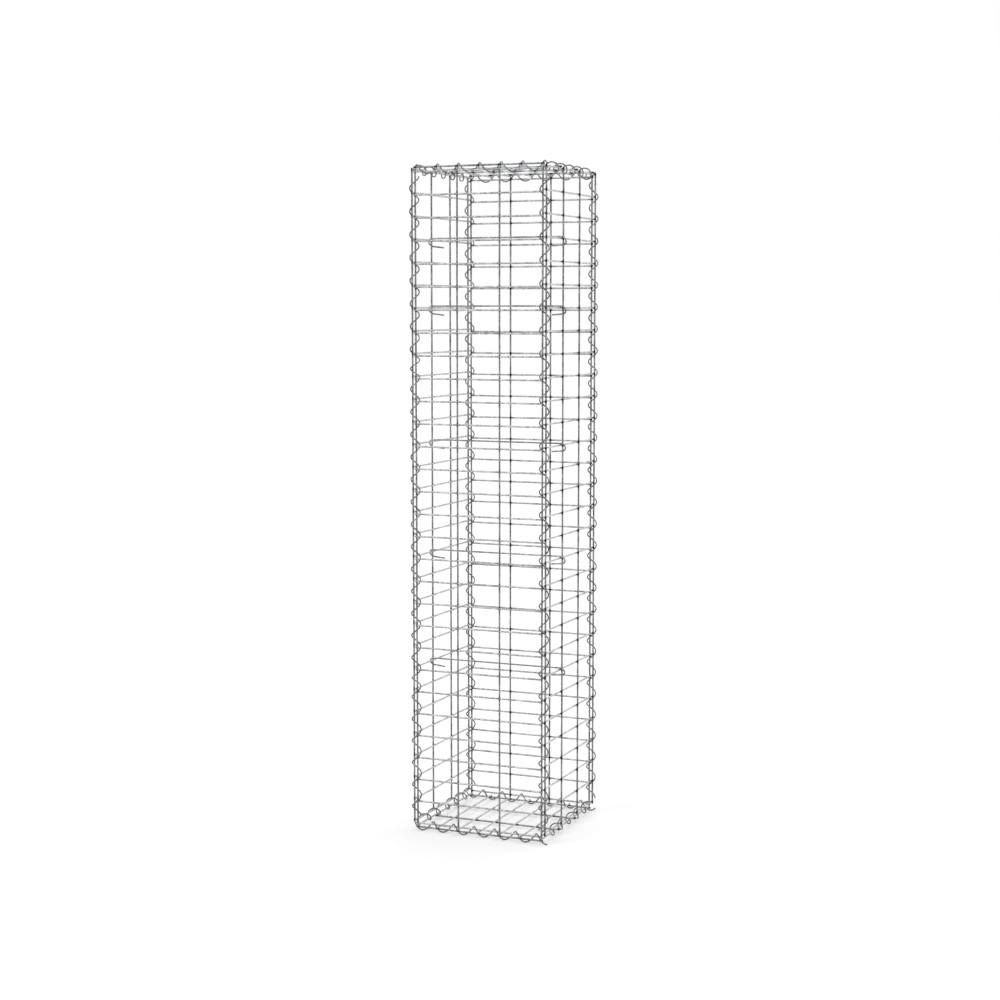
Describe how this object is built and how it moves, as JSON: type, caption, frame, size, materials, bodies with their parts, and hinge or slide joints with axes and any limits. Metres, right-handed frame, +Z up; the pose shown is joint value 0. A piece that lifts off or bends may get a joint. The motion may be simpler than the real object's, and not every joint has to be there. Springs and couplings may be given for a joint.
{
  "type": "gabion column basket",
  "caption": "Tall square basket of galvanised welded mesh, laced along its edges with wire spirals and held across the inside by hooked wire ties.",
  "frame": {"origin": "centre of the footprint, on the ground under the loops of the base spirals", "axes": "+Z up along the column, -Y towards the front panel, +X to the right seen from the front"},
  "size_m": [0.3324, 0.3276, 1.4844],
  "materials": {
    "mesh_wire": "galvanised, dull grey",
    "spiral_wire": "galvanised, dull grey",
    "tie_wire": "galvanised, dull grey"
  },
  "bodies": {
    "root": {"front_panel": "mesh_wire", "back_panel": "mesh_wire", "left_panel": "mesh_wire", "right_panel": "mesh_wire", "base_panel": "mesh_wire", "lid_panel": "mesh_wire", "front_left_spiral": "spiral_wire", "front_right_spiral": "spiral_wire", "back_left_spiral": "spiral_wire", "back_right_spiral": "spiral_wire", "base_front_spiral": "spiral_wire", "base_back_spiral": "spiral_wire", "base_left_spiral": "spiral_wire", "base_right_spiral": "spiral_wire", "lid_front_spiral": "spiral_wire", "lid_back_spiral": "spiral_wire", "lid_left_spiral": "spiral_wire", "lid_right_spiral": "spiral_wire", "tie_1": "tie_wire", "tie_2": "tie_wire", "tie_3": "tie_wire", "tie_4": "tie_wire", "tie_5": "tie_wire"}
  },
  "joints": []
}
